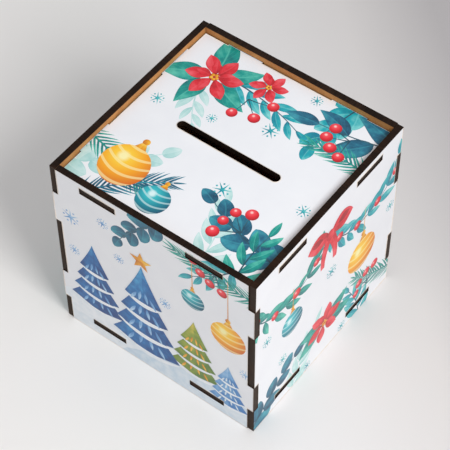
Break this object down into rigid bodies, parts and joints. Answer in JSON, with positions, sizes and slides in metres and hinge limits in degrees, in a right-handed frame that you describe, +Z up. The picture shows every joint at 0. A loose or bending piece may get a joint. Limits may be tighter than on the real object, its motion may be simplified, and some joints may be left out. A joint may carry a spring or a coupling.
{
  "type": "money box",
  "caption": "Cube money box of laser-cut printed board with finger joints and through tabs, a slot in its sunken top and a swinging emptying hatch under its raised base.",
  "frame": {"origin": "on the floor under the middle of the box", "axes": "+Z up through the slot in the top, front wall towards -Y, slot along X"},
  "size_m": [0.1, 0.1, 0.1],
  "materials": {
    "printed_board": "white printed face with a satin sheen, edges charred dark by the laser, raw brown inside",
    "raw_board": "raw brown fibreboard with edges charred dark by the laser",
    "zinc_steel": "bright zinc plating"
  },
  "bodies": {
    "box": {"front_wall": "printed_board", "back_wall": "printed_board", "left_wall": "printed_board", "right_wall": "printed_board", "top_panel": "printed_board", "base_panel": "raw_board", "hatch_screw": "zinc_steel", "outer_washer": "zinc_steel", "inner_washer": "zinc_steel", "lock_nut": "zinc_steel"},
    "hatch": {"hatch_cover": "raw_board"}
  },
  "joints": [
    {"name": "hatch_swing", "type": "hinge", "parent": "box", "child": "hatch", "pos_m": [0, 0.0245, 0.00435], "axis": [0, 0, 1], "range_deg": [-95, 95]}
  ]
}
